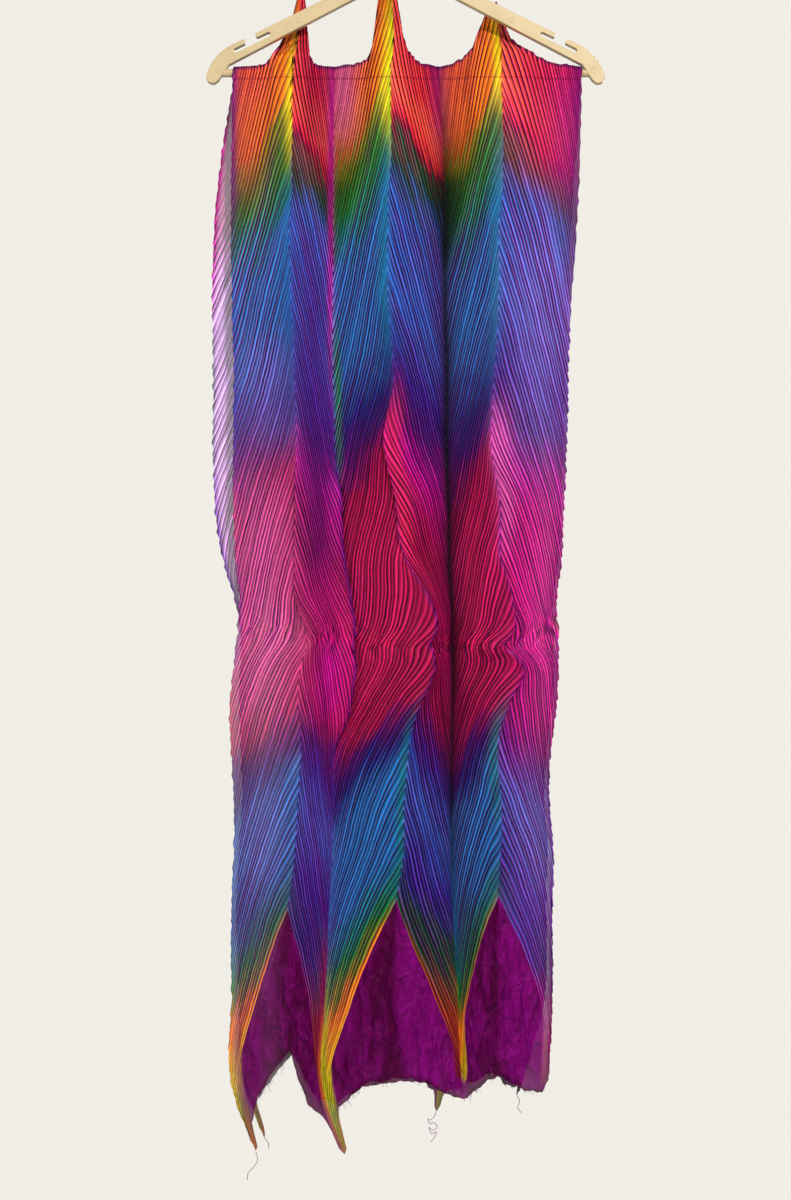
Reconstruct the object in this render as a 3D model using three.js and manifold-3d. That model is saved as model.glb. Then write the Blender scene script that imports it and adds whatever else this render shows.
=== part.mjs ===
// A pleated, pole-dyed silk scarf folded in half over the bar of a notched clothes hanger.
// Millimetres, +Z up, +X to the viewer's right, +Y away from the viewer.
// The origin is the inside crown of the hook, where a rail carries the hanger.

import * as THREE from 'three';
import { mergeVertices } from 'three/addons/utils/BufferGeometryUtils.js';
import Module from 'manifold-3d';

// Hanger: two flat arms, rounded noses and a round bar in one moulding.
const armSpan = 430;
const armThickness = 10;
const armEdgeRound = 1;
const armTopDrop = 71;
const armTopSlope = 0.493;
const armUnderDrop = 85;
const armUnderSlope = 0.525;
const bossTop = -64;
const bossHalfWidth = 13;
const bossRound = 3;
const bossFoot = 26;
const barDrop = 193;
const barDiameter = 9;
const barFacets = 16;
const barReach = 205;
const noseReach = armSpan / 2;
const noseStart = 184;
const noseInside = 190.5;
const noseTip = -205;
const noseShoulder = new THREE.Vector2(202, -170);
const noseCheek = new THREE.Vector2(211, -182);
const noseHeel = new THREE.Vector2(201.5, -201.5);
const noseRound = 8;

// Undercut notch in the top edge of each arm.
const notchCentre = 168.5;
const notchMouth = 13;
const notchLength = 44;
const notchHeight = 5;
const notchLip = 5;
const notchLipRound = 2;
const notchClear = 4;
const plateArcParts = 10;
const outlineArcParts = 8;

// Hook: a bent wire whose shank stands in a bore of the moulding.
const hookWire = 4.5;
const hookInside = 20;
const hookFirstAngle = -35;
const hookLastAngle = 215;
const hookAngleStep = 25;
const hookBends = [
  { x: 0, z: -61 },
  { x: 2, z: -52 },
  { x: 9, z: -42 },
];
const hookArcParts = 6;
const hookSteps = 46;
const boreDepth = 16;
const boreFacets = 20;
const boreClear = 0.45;
const pieceGap = 0.3;

// Scarf: thickness, clearances and pleat sizes.
const silk = 1;
const silkClearance = 2;
const wrapRadius = barDiameter / 2 + silkClearance + silk / 2;
const peakRadius = 3;
const peakCrest = [7, 50];
const peakLean = 24;
const ridgeStand = 8;
const leanStart = 0.45;
const leanEnd = 0.85;
const leanCrest = [12, 30];
const hangStart = 130;
const pleatHeight = 1.5;
const pleatStart = -15;
const pleatFull = 60;
const pleatRows = 46;
const topRows = 12;
const topRun = 0.13;
const plainRows = 3;
const foldOverAngles = [60, 30, 0, -30, -60];
const edgeScallop = 1.5;
const creaseDrop = 613;
const creaseWidth = 16;
const creaseDent = 5;

// Pleats climb from each valley line to each ridge line; these set how steeply.
const pleatClimb = 150;
const pleatClimbRate = 8;
const pleatCurve = 0.85;
const crestBlend = 0.05;

// The seven lines across the cloth, left edge to right edge. crest is the height of the fold above the
// bar's centre, front and back are how far below it the pleats end, depth is how far the line stands out.
const lines = [
  { name: 'left', ridge: false, crest: wrapRadius, front: 1158, back: 1147, depth: 7 },
  { name: 'ridgeA', ridge: true, crest: 111, front: 899, back: 902, depth: 24 },
  { name: 'valleyB', ridge: false, crest: wrapRadius, front: 1155, back: 1126, depth: 9 },
  { name: 'ridgeC', ridge: true, crest: 143, front: 888, back: 896, depth: 28 },
  { name: 'valleyD', ridge: false, crest: wrapRadius, front: 1077, back: 1117, depth: 4 },
  { name: 'ridgeE', ridge: true, crest: 84, front: 884, back: 890, depth: 30 },
  { name: 'right', ridge: false, crest: wrapRadius, front: 1078, back: 1100, depth: 7 },
];

// How sharply each of the six panels rises to its peak at the fold, how its pleats curve at the ends, and
// how far from valley to ridge its columns stand.
const panels = [
  { crestPower: 3.3, endPower: 0.6, steps: [0, 0.28, 0.62, 0.8, 0.91] },
  { crestPower: 6, endPower: 0.6, steps: [0, 0.28, 0.7, 0.86, 0.95] },
  { crestPower: 12, endPower: 0.55, steps: [0, 0.3, 0.72, 0.87, 0.95] },
  { crestPower: 2.8, endPower: 0.9, steps: [0, 0.28, 0.62, 0.84] },
  { crestPower: 2.1, endPower: 0.6, steps: [0, 0.28, 0.62, 0.84] },
  { crestPower: 3, endPower: 0.6, steps: [0, 0.28, 0.62, 0.84] },
];

// Where each line runs across the front layer, at drops below the bar's centre.
const frontLines = [
  { drop: -140, left: -184, ridgeA: -113, valleyB: -73, ridgeC: -33, valleyD: 35, ridgeE: 101, right: 187 },
  { drop: -75, left: -184, ridgeA: -114, valleyB: -73, ridgeC: -27, valleyD: 35, ridgeE: 99, right: 187 },
  { drop: 0, left: -184, ridgeA: -124, valleyB: -74, ridgeC: -19, valleyD: 36, ridgeE: 100, right: 187 },
  { drop: 140, left: -184, ridgeA: -123, valleyB: -78, ridgeC: -19, valleyD: 42, ridgeE: 101, right: 185 },
  { drop: 350, left: -184, ridgeA: -117, valleyB: -78, ridgeC: -14, valleyD: 44, ridgeE: 96, right: 175 },
  { drop: 480, left: -184, ridgeA: -115, valleyB: -75, ridgeC: -2, valleyD: 47, ridgeE: 100, right: 170 },
  { drop: 575, left: -179, ridgeA: -111, valleyB: -65, ridgeC: 22, valleyD: 49, ridgeE: 108, right: 163 },
  { drop: 613, left: -181, ridgeA: -104, valleyB: -64, ridgeC: 21, valleyD: 50, ridgeE: 99, right: 163 },
  { drop: 640, left: -184, ridgeA: -110, valleyB: -62, ridgeC: 24, valleyD: 50, ridgeE: 115, right: 164 },
  { drop: 720, left: -189, ridgeA: -114, valleyB: -76, ridgeC: 3, valleyD: 50, ridgeE: 97, right: 158 },
  { drop: 860, left: -186, ridgeA: -122, valleyB: -80, ridgeC: -6, valleyD: 51, ridgeE: 99, right: 159 },
  { drop: 1000, left: -187, ridgeA: -126, valleyB: -86, ridgeC: -10, valleyD: 58, ridgeE: 99, right: 158 },
  { drop: 1090, left: -188, ridgeA: -125, valleyB: -89, ridgeC: -6, valleyD: 62, ridgeE: 100, right: 154 },
  { drop: 1165, left: -161, ridgeA: -124, valleyB: -66, ridgeC: -4, valleyD: 64, ridgeE: 101, right: 152 },
];

// How far each line of the back layer lies to the side of the front one.
const backShift = [
  { drop: 0, left: 0, ridgeA: 0, valleyB: 0, ridgeC: 0, valleyD: 0, ridgeE: 0, right: 0 },
  { drop: 140, left: -17, ridgeA: -4, valleyB: 3, ridgeC: 4, valleyD: -3, ridgeE: 2, right: -4 },
  { drop: 400, left: -22, ridgeA: -6, valleyB: 4, ridgeC: 6, valleyD: -4, ridgeE: 4, right: -2 },
  { drop: 530, left: -15, ridgeA: -4, valleyB: 2, ridgeC: -4, valleyD: -5, ridgeE: -4, right: -3 },
  { drop: 600, left: 2, ridgeA: -3, valleyB: 4, ridgeC: -9, valleyD: -5, ridgeE: -5, right: -3 },
  { drop: 860, left: 5, ridgeA: 3, valleyB: 5, ridgeC: 6, valleyD: -6, ridgeE: -3, right: -6 },
  { drop: 1000, left: 7, ridgeA: 3, valleyB: 6, ridgeC: 9, valleyD: -14, ridgeE: -5, right: -20 },
  { drop: 1120, left: 20, ridgeA: 2, valleyB: 9, ridgeC: 8, valleyD: -30, ridgeE: -8, right: -38 },
];

// Drop of the raw hem at each line and halfway between, left to right.
const hems = {
  front: [1164, 1100, 1056, 1100, 1161, 1098, 1087, 1093, 1103, 1098, 1083, 1093, 1097],
  back: [1153, 1106, 1078, 1094, 1132, 1100, 1092, 1096, 1123, 1098, 1088, 1094, 1106],
};
const hemDepth = 11;
const hemWave = 4;
const hemWaveTurn = 5 * Math.PI / 3;

const wasm = await Module();
wasm.setup();

function toSolid(geometry) {
  const bare = geometry.clone();
  bare.deleteAttribute('normal');
  bare.deleteAttribute('uv');
  const merged = mergeVertices(bare, 1e-4);
  const mesh = new wasm.Mesh({
    numProp: 3,
    vertProperties: new Float32Array(merged.attributes.position.array),
    triVerts: new Uint32Array(merged.index.array),
  });
  return new wasm.Manifold(mesh);
}

function toGeometry(solid) {
  const mesh = solid.getMesh();
  const geometry = new THREE.BufferGeometry();
  geometry.setAttribute('position', new THREE.BufferAttribute(new Float32Array(mesh.vertProperties), 3));
  geometry.setIndex(new THREE.BufferAttribute(new Uint32Array(mesh.triVerts), 1));
  return geometry;
}

function underEdge(x) {
  return -armUnderDrop - armUnderSlope * x;
}

function topEdge(x) {
  return -armTopDrop - armTopSlope * x;
}

// Extrudes a flat outline, drawn in X and Z, evenly to both sides of the hanger's middle plane.
function plate(shape, thickness, round) {
  const geometry = new THREE.ExtrudeGeometry(shape, {
    depth: thickness - 2 * round,
    bevelEnabled: round > 0,
    bevelThickness: round,
    bevelSize: round,
    bevelOffset: -round,
    bevelSegments: 2,
    curveSegments: plateArcParts,
  });
  geometry.translate(0, 0, round - thickness / 2);
  geometry.rotateX(Math.PI / 2);
  return geometry;
}

// Outline of both arms: the boss, the top edge, the rounded nose and the underside, mirrored.
function armOutline() {
  const half = new THREE.Path();
  half.moveTo(0, bossTop);
  half.lineTo(bossHalfWidth - bossRound, bossTop);
  half.quadraticCurveTo(bossHalfWidth, bossTop, bossHalfWidth, bossTop - bossRound);
  half.quadraticCurveTo(bossHalfWidth, topEdge(bossHalfWidth), bossFoot, topEdge(bossFoot));
  half.lineTo(noseStart, topEdge(noseStart));
  half.bezierCurveTo(noseShoulder.x, noseShoulder.y, noseCheek.x, noseCheek.y, noseReach, noseTip + noseRound);
  half.quadraticCurveTo(noseReach, noseTip, noseReach - noseRound, noseTip);
  half.quadraticCurveTo(noseHeel.x + noseRound / 2, noseTip, noseHeel.x, noseHeel.y);
  half.lineTo(noseInside, underEdge(noseInside));
  half.lineTo(0, underEdge(0));
  const right = half.getPoints(outlineArcParts);
  const left = right.slice(1, -1).reverse().map((point) => new THREE.Vector2(-point.x, point.y));
  return new THREE.Shape([...right, ...left]);
}

// Undercut notch seen from the front: a mouth through the top edge and a long round-ended slot below it.
function notchOutline() {
  const slotRound = notchHeight / 2;
  const slotReach = notchLength / 2 - slotRound;
  const slotTop = -notchLip;
  const shape = new THREE.Shape();
  const mouth = notchMouth / 2;
  const flare = mouth + notchLipRound;
  shape.moveTo(flare, notchClear);
  shape.lineTo(-flare, notchClear);
  shape.quadraticCurveTo(-mouth, 0, -mouth, -notchLipRound);
  shape.lineTo(-mouth, slotTop + notchLipRound);
  shape.quadraticCurveTo(-mouth, slotTop, -flare, slotTop);
  shape.lineTo(-slotReach, slotTop);
  shape.absarc(-slotReach, slotTop - slotRound, slotRound, Math.PI / 2, Math.PI * 1.5, false);
  shape.lineTo(slotReach, slotTop - notchHeight);
  shape.absarc(slotReach, slotTop - slotRound, slotRound, -Math.PI / 2, Math.PI / 2, false);
  shape.lineTo(flare, slotTop);
  shape.quadraticCurveTo(mouth, slotTop, mouth, slotTop + notchLipRound);
  shape.lineTo(mouth, -notchLipRound);
  shape.quadraticCurveTo(mouth, 0, flare, notchClear);
  return shape;
}

function hangerGeometry() {
  const bar = new THREE.CylinderGeometry(barDiameter / 2, barDiameter / 2, 2 * barReach, barFacets);
  bar.rotateZ(Math.PI / 2);
  bar.translate(0, 0, -barDrop);
  const boreRadius = hookWire / 2 + boreClear;
  const bore = new THREE.CylinderGeometry(boreRadius, boreRadius, 2 * boreDepth, boreFacets);
  bore.rotateX(Math.PI / 2);
  bore.translate(0, 0, bossTop);
  let body = toSolid(plate(armOutline(), armThickness, armEdgeRound));
  body = body.add(toSolid(bar)).subtract(toSolid(bore));
  for (const side of [-1, 1]) {
    const notch = plate(notchOutline(), armThickness + 2 * notchClear, 0);
    notch.rotateY(side * Math.atan(armTopSlope));
    notch.translate(side * notchCentre, 0, topEdge(notchCentre));
    body = body.subtract(toSolid(notch));
  }
  return toGeometry(body);
}

// Wire hook: straight shank, one bend to the side, then round over the rail.
function hookGeometry() {
  const radius = hookInside + hookWire / 2;
  const route = [
    new THREE.Vector3(0, 0, bossTop - boreDepth + pieceGap),
    new THREE.Vector3(0, 0, bossTop - boreDepth / 2),
    ...hookBends.map((bend) => new THREE.Vector3(bend.x, 0, bend.z)),
  ];
  for (let angle = hookFirstAngle; angle <= hookLastAngle; angle += hookAngleStep) {
    const turn = THREE.MathUtils.degToRad(angle);
    route.push(new THREE.Vector3(radius * Math.cos(turn), 0, radius * Math.sin(turn) - hookInside));
  }
  const section = new THREE.Shape();
  section.absarc(0, 0, hookWire / 2, 0, 2 * Math.PI, false);
  return new THREE.ExtrudeGeometry(section, {
    steps: hookSteps,
    curveSegments: hookArcParts,
    bevelEnabled: false,
    extrudePath: new THREE.CatmullRomCurve3(route),
  });
}

// Value of one named column at a drop, straight between the rows of a table.
function between(rows, column, drop) {
  let last = 1;
  while (last < rows.length - 1 && rows[last].drop < drop) {
    last += 1;
  }
  const share = (drop - rows[last - 1].drop) / (rows[last].drop - rows[last - 1].drop);
  return THREE.MathUtils.lerp(rows[last - 1][column], rows[last][column], THREE.MathUtils.clamp(share, 0, 1));
}

function linePlace(line, drop, side) {
  const shift = side === 'back' ? between(backShift, line.name, drop) : 0;
  return between(frontLines, line.name, drop) + shift;
}

// Columns of the cloth: the panel, the share of the way across it, and of the way from valley to ridge.
function clothColumns() {
  const columns = [];
  panels.forEach((panel, index) => {
    const climbs = lines[index + 1].ridge;
    const across = climbs ? panel.steps : [0, ...panel.steps.slice(1).map((step) => 1 - step).reverse()];
    across.forEach((share) => columns.push({ index, share, rise: climbs ? share : 1 - share }));
  });
  columns.push({ index: panels.length - 1, share: 1, rise: 0 });
  return columns;
}

function columnEnds(column) {
  const before = lines[column.index];
  const after = lines[column.index + 1];
  return before.ridge ? { ridge: before, valley: after } : { ridge: after, valley: before };
}

function crestHeight(column) {
  const { ridge, valley } = columnEnds(column);
  return valley.crest + (ridge.crest - valley.crest) * column.rise ** panels[column.index].crestPower;
}

function foldRadius(column) {
  const share = THREE.MathUtils.smoothstep(crestHeight(column), ...peakCrest);
  return THREE.MathUtils.lerp(wrapRadius, peakRadius, share);
}

// 0 on the columns that wrap the bar closely, 1 on those that rise to a peak.
function peakShare(column) {
  return THREE.MathUtils.smoothstep(crestHeight(column), ...leanCrest);
}

// The peaks lean back just below the arms, to pass behind them.
function leanBack(column, x, height) {
  const armHeight = barDrop + underEdge(Math.abs(x));
  const rise = THREE.MathUtils.smoothstep(height, leanStart * armHeight, leanEnd * armHeight);
  return peakLean * rise * peakShare(column);
}

function barGap(column) {
  return wrapRadius + ridgeStand * peakShare(column);
}

// Drop of a point on one pleat line: run goes from the fold, 0, to the last pleat, 1.
function pleatDrop(column, run, side) {
  const { ridge, valley } = columnEnds(column);
  const panel = panels[column.index];
  const radius = foldRadius(column);
  const ridgeDrop = THREE.MathUtils.lerp(-ridge.crest, ridge[side], run);
  const valleyDrop = THREE.MathUtils.lerp(-valley.crest, valley[side], run);
  const climb = valleyDrop - ridgeDrop + pleatClimb * (1 - Math.exp(-pleatClimbRate * run)) * (1 - run);
  const crestPart = (panel.crestPower - pleatCurve) * Math.exp(-run / crestBlend);
  const power = pleatCurve + crestPart + (panel.endPower - pleatCurve) * run ** 3;
  return ridgeDrop + climb * (1 - column.rise ** power) + radius * (1 - run);
}

function hemDrop(column, side) {
  const place = 2 * (column.index + column.share);
  const before = Math.min(Math.floor(place), hems[side].length - 2);
  return THREE.MathUtils.lerp(hems[side][before], hems[side][before + 1], place - before);
}

// How far the cloth stands from the bar's middle plane, before its pleats.
function standOff(column, drop, plain) {
  const before = lines[column.index].depth;
  const after = lines[column.index + 1].depth;
  const crease = creaseDent * Math.exp(-(((drop - creaseDrop) / creaseWidth) ** 2)) * column.rise;
  const folded = THREE.MathUtils.lerp(before, after, column.share) - crease;
  const wave = hemDepth + hemWave * Math.sin(hemWaveTurn * (column.index + column.share));
  const hung = THREE.MathUtils.lerp(folded, Math.min(wave, folded + hemWave), plain);
  return THREE.MathUtils.lerp(barGap(column), hung, THREE.MathUtils.smoothstep(drop, 0, hangStart));
}

function layerPoint(column, drop, side, pleat, plain) {
  const before = lines[column.index];
  const after = lines[column.index + 1];
  const edge = Math.abs(column.index + column.share - panels.length / 2) === panels.length / 2;
  const firm = THREE.MathUtils.smoothstep(drop, pleatStart, pleatFull);
  const scallop = edge ? pleat * edgeScallop * firm : 0;
  const x = THREE.MathUtils.lerp(linePlace(before, drop, side), linePlace(after, drop, side), column.share);
  const toward = side === 'back' ? 1 : -1;
  if (drop >= 0) {
    const out = standOff(column, drop, plain) + pleat * pleatHeight * firm;
    return new THREE.Vector3(x + scallop, toward * out, -barDrop - drop);
  }
  const radius = foldRadius(column);
  const height = crestHeight(column) - radius;
  const gap = height > 0 ? THREE.MathUtils.lerp(barGap(column), radius, Math.min(1, -drop / height)) : radius;
  const y = leanBack(column, x, -drop) + toward * (gap + pleat * pleatHeight * firm);
  return new THREE.Vector3(x, y, -barDrop - drop);
}

function foldPoint(column, angle) {
  const radius = foldRadius(column);
  const height = crestHeight(column) - radius;
  const drop = -height;
  const before = linePlace(lines[column.index], drop, 'front');
  const after = linePlace(lines[column.index + 1], drop, 'front');
  const turn = THREE.MathUtils.degToRad(angle);
  const x = THREE.MathUtils.lerp(before, after, column.share);
  const y = leanBack(column, x, height) - radius * Math.sin(turn);
  return new THREE.Vector3(x, y, -barDrop + height + radius * Math.cos(turn));
}

// Rows lie closer together where the cloth bends over the bar and leans behind the arms.
function rowRun(row) {
  if (row <= topRows) {
    return topRun * row / topRows;
  }
  return topRun + (1 - topRun) * (row - topRows) / (pleatRows - topRows);
}

// Rows of one layer from the fold down to the raw hem: pleats first, then the plain end.
function layerRows(columns, side) {
  const rows = [];
  for (let row = 0; row <= pleatRows; row += 1) {
    const pleat = row % 2 === 0 ? 1 : -1;
    const run = rowRun(row);
    rows.push(columns.map((column) => layerPoint(column, pleatDrop(column, run, side), side, pleat, 0)));
  }
  for (let row = 1; row <= plainRows; row += 1) {
    const plain = row / plainRows;
    rows.push(columns.map((column) => {
      const drop = THREE.MathUtils.lerp(pleatDrop(column, 1, side), hemDrop(column, side), plain);
      return layerPoint(column, drop, side, 1 - plain, plain);
    }));
  }
  return rows;
}

// Two triangles of a four-sided patch, parted along its shorter diagonal.
function splitQuad(points, a, b, c, d) {
  if (points[a].distanceTo(points[c]) < points[b].distanceTo(points[d])) {
    return [a, b, c, a, c, d];
  }
  return [a, b, d, b, c, d];
}

// The whole cloth as one sheet from the front hem over the fold to the back hem, given its thickness.
function scarfGeometry() {
  const columns = clothColumns();
  const foldRows = foldOverAngles.map((angle) => columns.map((column) => foldPoint(column, angle)));
  const rows = [...layerRows(columns, 'front').reverse(), ...foldRows, ...layerRows(columns, 'back')];
  const width = columns.length;
  const points = rows.flat();
  const faces = [];
  for (let row = 0; row + 1 < rows.length; row += 1) {
    for (let column = 0; column + 1 < width; column += 1) {
      const corner = row * width + column;
      faces.push(...splitQuad(points, corner, corner + 1, corner + width + 1, corner + width));
    }
  }
  const sheet = new THREE.BufferGeometry().setFromPoints(points);
  sheet.setIndex(faces);
  sheet.computeVertexNormals();
  return thicken(sheet, rimLoop(rows.length, width));
}

// Point numbers once round the sheet's free edge, in the order its faces turn.
function rimLoop(height, width) {
  const loop = [];
  for (let column = 0; column < width - 1; column += 1) {
    loop.push(column);
  }
  for (let row = 0; row < height - 1; row += 1) {
    loop.push(row * width + width - 1);
  }
  for (let column = width - 1; column > 0; column -= 1) {
    loop.push((height - 1) * width + column);
  }
  for (let row = height - 1; row > 0; row -= 1) {
    loop.push(row * width);
  }
  return loop;
}

function thicken(sheet, rim) {
  const count = sheet.attributes.position.count;
  const outer = [];
  const inner = [];
  for (let index = 0; index < count; index += 1) {
    const point = new THREE.Vector3().fromBufferAttribute(sheet.attributes.position, index);
    const normal = new THREE.Vector3().fromBufferAttribute(sheet.attributes.normal, index);
    outer.push(point.clone().addScaledVector(normal, silk / 2));
    inner.push(point.clone().addScaledVector(normal, -silk / 2));
  }
  const faces = Array.from(sheet.index.array);
  for (let face = 0; face < sheet.index.count; face += 3) {
    const [a, b, c] = sheet.index.array.slice(face, face + 3);
    faces.push(a + count, c + count, b + count);
  }
  rim.forEach((start, place) => {
    const end = rim[(place + 1) % rim.length];
    faces.push(start, start + count, end + count, start, end + count, end);
  });
  const solid = new THREE.BufferGeometry().setFromPoints([...outer, ...inner]);
  solid.setIndex(faces);
  return solid;
}

function piece(name, geometry, finish) {
  const mesh = new THREE.Mesh(geometry, new THREE.MeshStandardMaterial(finish));
  mesh.name = name;
  return mesh;
}

const hungScarf = new THREE.Group();
hungScarf.add(piece('scarf', scarfGeometry(), { color: 0x9a1f8c, roughness: 0.55, metalness: 0 }));
hungScarf.add(piece('hanger', hangerGeometry(), { color: 0xe8d08c, roughness: 0.45, metalness: 0 }));
hungScarf.add(piece('hook', hookGeometry(), { color: 0xc9ccd0, roughness: 0.2, metalness: 1 }));

export default hungScarf;
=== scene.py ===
# %% [markdown]
# # A pleated silk scarf over a clothes hanger
# The real scarf is one length of sheer silk. It was wound on a pole, pushed up into fine folds, dyed in bands
# and steamed, so it keeps its pleats for good. It is folded once over the bar of a beige hanger and hangs down
# on both sides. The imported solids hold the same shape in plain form, so this lesson starts by loading them: they
# are the frame that every piece below is measured from.

# %% Load the frame
import math
from collections import namedtuple

import bmesh
import bpy
import numpy as np
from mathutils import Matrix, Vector


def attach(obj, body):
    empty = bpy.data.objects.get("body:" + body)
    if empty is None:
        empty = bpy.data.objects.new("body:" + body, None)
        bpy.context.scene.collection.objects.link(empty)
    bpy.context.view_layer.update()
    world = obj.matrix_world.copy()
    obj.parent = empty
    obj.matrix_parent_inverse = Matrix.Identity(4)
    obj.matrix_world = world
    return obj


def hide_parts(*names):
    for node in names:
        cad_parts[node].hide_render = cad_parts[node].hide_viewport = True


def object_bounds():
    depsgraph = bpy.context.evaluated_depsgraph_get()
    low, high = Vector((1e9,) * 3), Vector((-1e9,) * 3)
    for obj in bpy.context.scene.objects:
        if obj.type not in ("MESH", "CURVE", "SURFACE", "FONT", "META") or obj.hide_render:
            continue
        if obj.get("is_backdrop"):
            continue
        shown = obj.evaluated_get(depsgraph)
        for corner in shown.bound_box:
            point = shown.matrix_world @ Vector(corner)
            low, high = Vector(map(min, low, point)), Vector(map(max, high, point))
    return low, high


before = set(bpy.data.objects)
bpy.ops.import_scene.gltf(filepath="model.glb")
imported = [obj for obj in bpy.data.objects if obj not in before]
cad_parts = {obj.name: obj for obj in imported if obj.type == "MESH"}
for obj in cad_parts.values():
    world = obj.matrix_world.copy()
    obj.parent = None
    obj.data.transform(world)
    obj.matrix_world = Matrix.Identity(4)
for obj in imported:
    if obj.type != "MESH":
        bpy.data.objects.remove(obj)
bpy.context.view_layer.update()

MM = 0.001

# %% [markdown]
# ## Small helpers
# A cloth is a grid of points, so almost everything below is arithmetic on whole grids at once. Four helpers are
# enough: a soft step, a blend of two values, a smooth curve through a short table, and a gentle ripple made of a
# few sine waves. The ripple stands in for the unevenness of hand work, and it gives the same answer every time.

# %% Curves and ripples
def soft_step(value, low, high):
    share = np.clip((value - low) / (high - low), 0, 1)
    return share * share * (3 - 2 * share)


def blend(low, high, share):
    return low + (high - low) * share


def smooth_curve(places, values, at):
    places = np.array(places, float)
    values = np.array(values, float)
    slopes = np.gradient(values, places)
    k = np.clip(np.searchsorted(places, at) - 1, 0, len(places) - 2)
    span = places[k + 1] - places[k]
    t = np.clip((at - places[k]) / span, 0, 1)
    low = (1 + 2 * t) * (1 - t) ** 2 * values[k] + t * (1 - t) ** 2 * span * slopes[k]
    high = t * t * (3 - 2 * t) * values[k + 1] + t * t * (t - 1) * span * slopes[k + 1]
    return low + high


def ripple(across, down, turn):
    waves = np.sin(2.1 * across + 1.3 * down + turn) + np.sin(1.7 * down - 3.3 * across + 2.4 * turn)
    waves = waves + 0.6 * np.sin(5.2 * across + 4.1 * down + 3.1 * turn)
    return (waves + 0.4 * np.sin(9.7 * down - 7.9 * across + 1.7 * turn)) / 3


print("ripple at the middle", round(float(ripple(3.0, 2.0, 1.0)), 3))

# %% [markdown]
# ## Where the folds run
# Seven lines run down the cloth from edge to edge. Ridges A, C and E come towards the viewer, and between them the
# cloth falls back into valleys. All places are in millimetres from the middle of the hanger, at a drop below the
# bar's centre. A short table with a smooth curve through it keeps the slow sway of the real folds, which a straight
# line would lose.

# %% Fold lines of the front layer
LINES = ("left", "ridge_a", "valley_b", "ridge_c", "valley_d", "ridge_e", "right")
Row = namedtuple("Row", ("drop",) + LINES)
FRONT_LINES = [
    Row(-140, -186, -112, -76, -15, 36, 101, 190),
    Row(-75, -186, -115, -76, -15, 36, 99, 190),
    Row(-30, -186, -122, -76, -17, 36, 99, 190),
    Row(0, -186, -125, -76, -19, 37, 99, 190),
    Row(83, -188, -126, -77, -19, 42, 101, 188),
    Row(137, -188, -125, -78, -19, 43, 100, 186),
    Row(245, -187, -123, -78, -19, 43, 99, 179),
    Row(353, -185, -117, -78, -12, 44, 94, 175),
    Row(407, -186, -116, -77, -16, 44, 92, 173),
    Row(461, -186, -115, -76, -4, 46, 100, 171),
    Row(526, -183, -115, -73, 2, 47, 101, 169),
    Row(569, -179, -114, -66, 20, 49, 107, 163),
    Row(602, -181, -104, -63, 26, 50, 109, 163),
    Row(618, -183, -105, -65, 20, 50, 98, 164),
    Row(634, -185, -111, -62, 25, 50, 115, 164),
    Row(677, -190, -115, -66, 12, 50, 106, 163),
    Row(731, -188, -114, -77, 3, 50, 96, 157),
    Row(785, -184, -118, -78, -2, 50, 99, 155),
    Row(839, -185, -121, -78, -2, 50, 99, 159),
    Row(893, -188, -125, -81, -9, 51, 99, 158),
    Row(1000, -187, -126, -86, -10, 58, 99, 158),
    Row(1090, -188, -125, -89, -6, 62, 100, 154),
    Row(1165, -161, -124, -66, -4, 64, 101, 152),
]
BACK_SHIFT = [
    Row(0, 0, 0, 0, 0, 0, 0, 0),
    Row(140, -17, -4, 3, 4, -3, 2, -4),
    Row(400, -22, -6, 4, 6, -4, 4, -2),
    Row(530, -15, -4, 2, -4, -5, -4, -3),
    Row(600, 2, -3, 4, -9, -5, -5, -3),
    Row(860, 5, 3, 5, 6, -6, -3, -6),
    Row(1000, 7, 3, 6, 9, -14, -3, -8),
    Row(1120, 13, 2, 9, 8, -30, -6, -36),
]


def line_place(table, line, drop):
    return smooth_curve([row.drop for row in table], [row[line + 1] for row in table], drop)


print("ridge C at the bar is at", float(line_place(FRONT_LINES, 3, np.array(0.0))), "mm")

# %% [markdown]
# ## How the pleats climb
# In each panel the pleats climb steeply from a valley line to a ridge line. One pleat keeps its place in the count
# on both lines, so a table of where the first and the last counted pleat meets every line fixes them all. Above the
# first counted pleat they turn almost upright and run out over the fold.

# %% Pleat counts
Line = namedtuple("Line", "first front_last back_last crest depth")
LINE_FACTS = [
    Line(236, 1158, 1147, 7, 7),
    Line(20, 899, 902, 111, 24),
    Line(241, 1155, 1100, 7, 9),
    Line(-18, 888, 896, 143, 28),
    Line(230, 1077, 1117, 7, 4),
    Line(-2, 884, 890, 84, 30),
    Line(279, 1078, 1100, 7, 7),
]
END_POWERS = (0.6, 0.6, 0.55, 0.9, 0.6, 0.6)
print("pleats of the front layer end at drops of", [line.front_last for line in LINE_FACTS], "mm")

# %% [markdown]
# The top and bottom edges have tables of their own. A crest shape says how high the fold stands between a valley, 0,
# and a peak, 1. A hem gives the drop of the ragged edge at its place across the six panels.

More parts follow.
